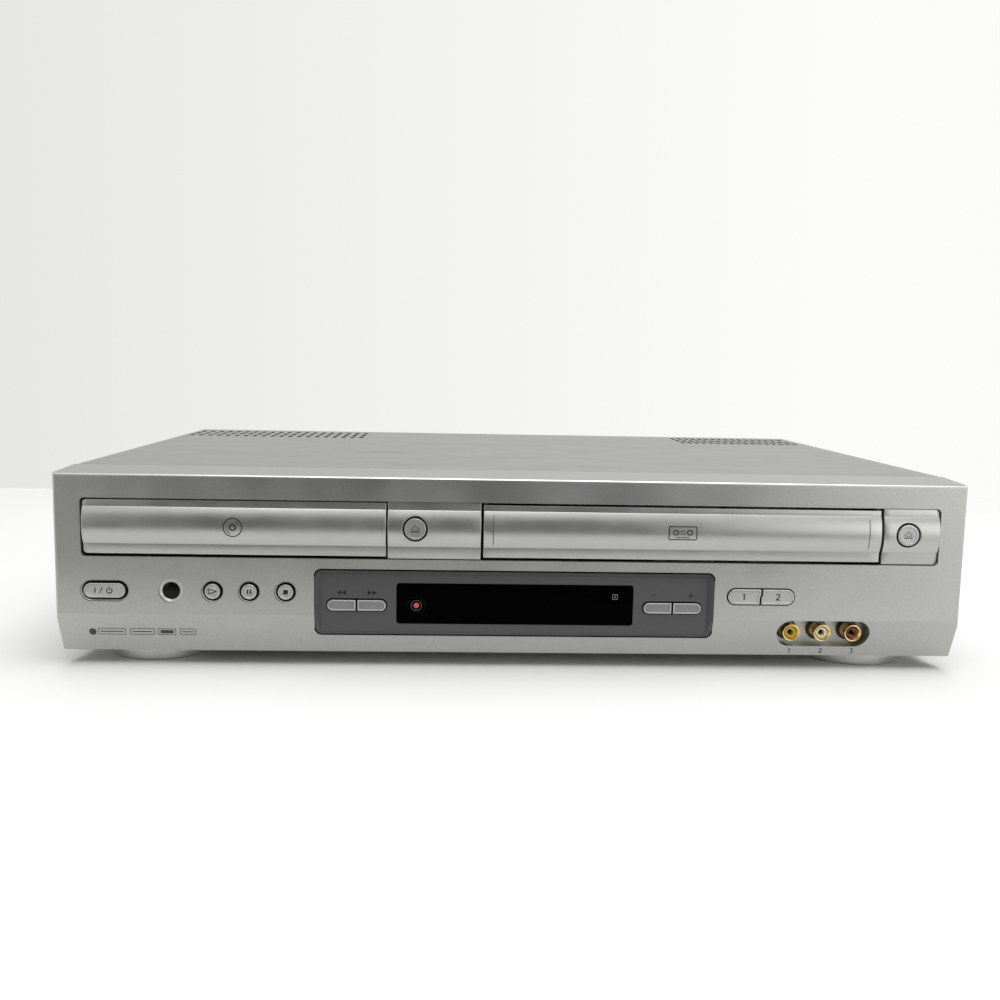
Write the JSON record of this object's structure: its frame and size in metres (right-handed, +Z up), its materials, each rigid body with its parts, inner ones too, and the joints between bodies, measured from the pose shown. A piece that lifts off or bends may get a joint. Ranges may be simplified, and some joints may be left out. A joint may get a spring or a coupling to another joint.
{
  "type": "disc and tape combination player",
  "caption": "Low silver table-top player with a sliding disc tray, a hinged cassette door, push buttons, a dark display panel and front audio-video sockets.",
  "frame": {"origin": "on the table under the middle of the player's box", "axes": "+X to the right seen from the front, +Y from the front to the back, +Z up"},
  "size_m": [0.4298, 0.2912, 0.0941],
  "materials": {
    "silver_plastic": "fine metallic silver paint on moulded plastic",
    "band_plastic": "satin metallic silver paint, smoother than the front",
    "button_plastic": "satin silver plastic",
    "cover_steel": "silver-grey painted sheet steel with a fine satin texture",
    "plated_steel": "zinc-plated sheet steel",
    "foot_plastic": "silver-painted plastic",
    "rubber": "black moulded rubber",
    "panel_plastic": "dark grey moulded plastic",
    "window_plastic": "black glossy plastic",
    "lens_plastic": "dark infrared-clear plastic",
    "black_plastic": "black moulded plastic",
    "gold_plate": "gold-plated brass",
    "nickel_plate": "nickel-plated metal",
    "yellow_plastic": "yellow plastic",
    "white_plastic": "white plastic",
    "red_plastic": "red plastic",
    "circuit_board": "green coated circuit board",
    "phenolic_board": "brown paper-phenolic circuit board",
    "transformer_tape": "yellow taped winding on a ferrite core",
    "tin_plate": "tin-plated shielding can",
    "grey_plastic": "grey glass-filled plastic",
    "polished_steel": "ground and polished steel",
    "brass_arm": "plain brass with steel tape posts"
  },
  "bodies": {
    "case": {"fascia": "silver_plastic", "top_cover": "cover_steel", "base_chassis": "plated_steel", "rear_panel": "plated_steel", "front_feet": "foot_plastic", "rear_feet": "rubber", "cover_screws": "plated_steel", "disc_eject_panel": "band_plastic", "tape_eject_panel": "band_plastic", "display_panel": "panel_plastic", "display_window": "window_plastic", "remote_lens": "lens_plastic", "front_socket_block": "black_plastic", "front_socket_shells": "gold_plate", "video_inserts": "yellow_plastic", "left_inserts": "white_plastic", "right_inserts": "red_plastic", "control_board": "circuit_board", "main_board": "circuit_board", "power_board": "phenolic_board", "transformer": "transformer_tape", "tuner_module": "tin_plate", "rear_socket_block": "black_plastic", "rear_socket_shells": "nickel_plate", "mains_inlet": "black_plastic", "loader_frame": "grey_plastic", "guide_rods": "polished_steel", "clamp_bridge": "polished_steel", "deck_sides": "plated_steel", "deck_frame": "plated_steel", "lower_drum": "polished_steel"},
    "tray": {"tray_front": "band_plastic", "disc_tray": "black_plastic"},
    "door": {"cassette_door": "band_plastic"},
    "tray_pinion": {"tray_pinion": "white_plastic"},
    "laser_sled": {"laser_sled": "grey_plastic"},
    "turntable": {"turntable": "polished_steel"},
    "clamp_puck": {"clamp_puck": "black_plastic"},
    "upper_drum": {"upper_drum": "polished_steel"},
    "supply_reel": {"supply_reel": "white_plastic"},
    "takeup_reel": {"takeup_reel": "white_plastic"},
    "capstan": {"capstan": "polished_steel"},
    "pinch_arm": {"pinch_arm": "grey_plastic"},
    "supply_arm": {"supply_arm": "brass_arm"},
    "takeup_arm": {"takeup_arm": "brass_arm"},
    "carriage": {"cassette_carriage": "plated_steel"},
    "basket": {"cassette_basket": "grey_plastic"},
    "power_button": {"power_button": "button_plastic"},
    "play_button": {"play_button": "button_plastic"},
    "pause_button": {"pause_button": "button_plastic"},
    "stop_button": {"stop_button": "button_plastic"},
    "rewind_button": {"rewind_button": "button_plastic"},
    "forward_button": {"forward_button": "button_plastic"},
    "record_button": {"record_button": "window_plastic"},
    "channel_down_button": {"channel_down_button": "button_plastic"},
    "channel_up_button": {"channel_up_button": "button_plastic"},
    "select_disc_button": {"select_disc_button": "button_plastic"},
    "select_tape_button": {"select_tape_button": "button_plastic"},
    "disc_eject_button": {"disc_eject_button": "button_plastic"},
    "tape_eject_button": {"tape_eject_button": "button_plastic"}
  },
  "joints": [
    {"name": "tray_slide", "type": "slide", "parent": "case", "child": "tray", "axis": [0, -1, 0], "range_m": [0, 0.1382]},
    {"name": "tray_pinion_spin", "type": "hinge", "parent": "case", "child": "tray_pinion", "pos_m": [-0.1838, -0.1134, 0.0538], "axis": [0, 0, 1], "continuous": true},
    {"name": "door_hinge", "type": "hinge", "parent": "case", "child": "door", "pos_m": [0, -0.1402, 0.0823], "axis": [1, 0, 0], "range_deg": [0, 85], "stiffness_Nm_per_rad": 0.004, "springref_deg": -28.65},
    {"name": "sled_slide", "type": "slide", "parent": "case", "child": "laser_sled", "axis": [0, 1, 0], "range_m": [0, 0.035]},
    {"name": "turntable_spin", "type": "hinge", "parent": "case", "child": "turntable", "pos_m": [-0.1318, -0.0687, 0.0604], "axis": [0, 0, 1], "continuous": true},
    {"name": "clamp_spin", "type": "hinge", "parent": "case", "child": "clamp_puck", "pos_m": [-0.1318, -0.0687, 0.066], "axis": [0, 0, 1], "continuous": true},
    {"name": "drum_spin", "type": "hinge", "parent": "case", "child": "upper_drum", "pos_m": [0.0792, 0.0663, 0.034], "axis": [0, 0, 1], "continuous": true},
    {"name": "supply_reel_spin", "type": "hinge", "parent": "case", "child": "supply_reel", "pos_m": [0.0332, -0.0347, 0.027], "axis": [0, 0, 1], "continuous": true},
    {"name": "takeup_reel_spin", "type": "hinge", "parent": "case", "child": "takeup_reel", "pos_m": [0.1252, -0.0347, 0.027], "axis": [0, 0, 1], "continuous": true},
    {"name": "capstan_spin", "type": "hinge", "parent": "case", "child": "capstan", "pos_m": [0.1412, 0.0303, 0.013], "axis": [0, 0, 1], "continuous": true},
    {"name": "pinch_swing", "type": "hinge", "parent": "case", "child": "pinch_arm", "pos_m": [0.1612, 0.0353, 0.0256], "axis": [0, 0, 1], "range_deg": [-25, 0], "stiffness_Nm_per_rad": 0.01, "springref_deg": 17.19},
    {"name": "takeup_arm_swing", "type": "hinge", "parent": "case", "child": "takeup_arm", "pos_m": [0.0992, 0.0613, 0.0256], "axis": [0, 0, 1], "range_deg": [0, 100]},
    {"name": "supply_arm_swing", "type": "hinge", "parent": "case", "child": "supply_arm", "pos_m": [0.0592, 0.0613, 0.0256], "axis": [0, 0, 1], "range_deg": [-100, 0]},
    {"name": "carriage_slide", "type": "slide", "parent": "case", "child": "carriage", "axis": [0, 1, 0], "range_m": [0, 0.03]},
    {"name": "basket_drop", "type": "slide", "parent": "carriage", "child": "basket", "axis": [0, 0, -1], "range_m": [0, 0.02]},
    {"name": "power_button_press", "type": "slide", "parent": "case", "child": "power_button", "axis": [0, 1, 0], "range_m": [0, 0.0008], "stiffness_N_per_m": 400, "springref_m": -0.0008},
    {"name": "play_button_press", "type": "slide", "parent": "case", "child": "play_button", "axis": [0, 1, 0], "range_m": [0, 0.0008], "stiffness_N_per_m": 400, "springref_m": -0.0008},
    {"name": "pause_button_press", "type": "slide", "parent": "case", "child": "pause_button", "axis": [0, 1, 0], "range_m": [0, 0.0008], "stiffness_N_per_m": 400, "springref_m": -0.0008},
    {"name": "stop_button_press", "type": "slide", "parent": "case", "child": "stop_button", "axis": [0, 1, 0], "range_m": [0, 0.0008], "stiffness_N_per_m": 400, "springref_m": -0.0008},
    {"name": "rewind_button_press", "type": "slide", "parent": "case", "child": "rewind_button", "axis": [0, 1, 0], "range_m": [0, 0.0008], "stiffness_N_per_m": 400, "springref_m": -0.0008},
    {"name": "forward_button_press", "type": "slide", "parent": "case", "child": "forward_button", "axis": [0, 1, 0], "range_m": [0, 0.0008], "stiffness_N_per_m": 400, "springref_m": -0.0008},
    {"name": "record_button_press", "type": "slide", "parent": "case", "child": "record_button", "axis": [0, 1, 0], "range_m": [0, 0.0008], "stiffness_N_per_m": 400, "springref_m": -0.0008},
    {"name": "channel_down_button_press", "type": "slide", "parent": "case", "child": "channel_down_button", "axis": [0, 1, 0], "range_m": [0, 0.0008], "stiffness_N_per_m": 400, "springref_m": -0.0008},
    {"name": "channel_up_button_press", "type": "slide", "parent": "case", "child": "channel_up_button", "axis": [0, 1, 0], "range_m": [0, 0.0008], "stiffness_N_per_m": 400, "springref_m": -0.0008},
    {"name": "select_disc_button_press", "type": "slide", "parent": "case", "child": "select_disc_button", "axis": [0, 1, 0], "range_m": [0, 0.0008], "stiffness_N_per_m": 400, "springref_m": -0.0008},
    {"name": "select_tape_button_press", "type": "slide", "parent": "case", "child": "select_tape_button", "axis": [0, 1, 0], "range_m": [0, 0.0008], "stiffness_N_per_m": 400, "springref_m": -0.0008},
    {"name": "disc_eject_button_press", "type": "slide", "parent": "case", "child": "disc_eject_button", "axis": [0, 1, 0], "range_m": [0, 0.0008], "stiffness_N_per_m": 400, "springref_m": -0.0008},
    {"name": "tape_eject_button_press", "type": "slide", "parent": "case", "child": "tape_eject_button", "axis": [0, 1, 0], "range_m": [0, 0.0008], "stiffness_N_per_m": 400, "springref_m": -0.0008}
  ],
  "couplings": [
    {"joint": "tray_pinion_spin", "follows": "tray_slide", "rad_per_m": -125},
    {"joint": "clamp_spin", "follows": "turntable_spin", "ratio": 1},
    {"joint": "supply_arm_swing", "follows": "takeup_arm_swing", "ratio": -1}
  ]
}
